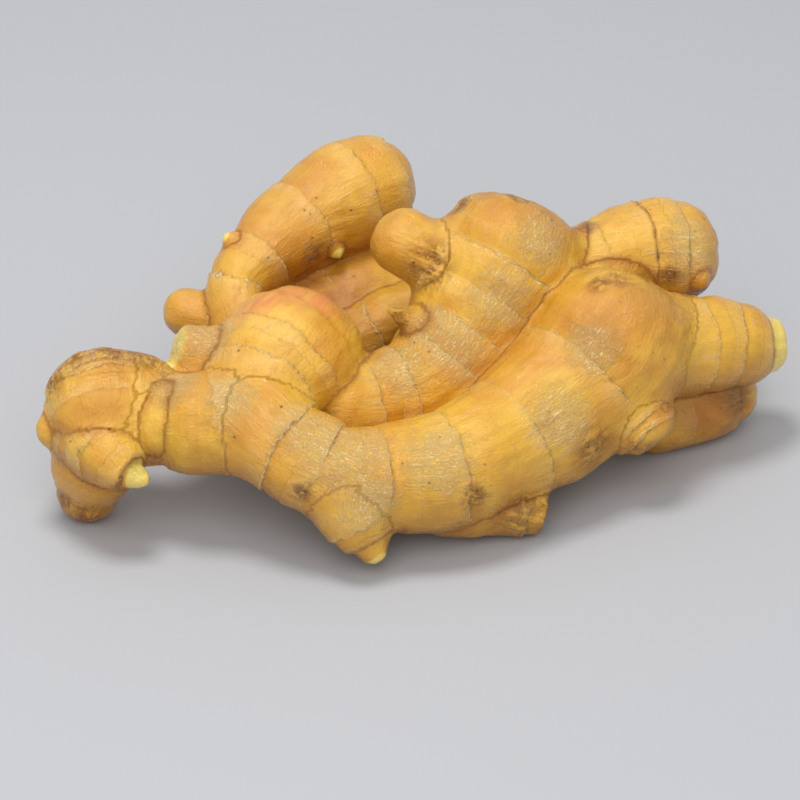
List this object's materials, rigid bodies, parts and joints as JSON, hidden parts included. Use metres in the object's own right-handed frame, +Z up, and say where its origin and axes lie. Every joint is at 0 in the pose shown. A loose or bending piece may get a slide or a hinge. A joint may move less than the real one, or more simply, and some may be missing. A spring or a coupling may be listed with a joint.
{
  "type": "ginger root",
  "caption": "Fresh ginger root lying on its side: swollen fingers with leaf-scar rings, short buds and domed cut ends, all in one piece.",
  "frame": {"origin": "on the table, under the middle of the root's outline", "axes": "+X along the root's length, towards the pale-tipped finger; +Y away from the viewer of the picture; +Z up from the table"},
  "size_m": [0.2062, 0.142, 0.0715],
  "materials": {
    "skin": "moist golden tan skin of fresh plant tissue, satin"
  },
  "bodies": {
    "root": {"ginger_root": "skin"}
  },
  "joints": []
}
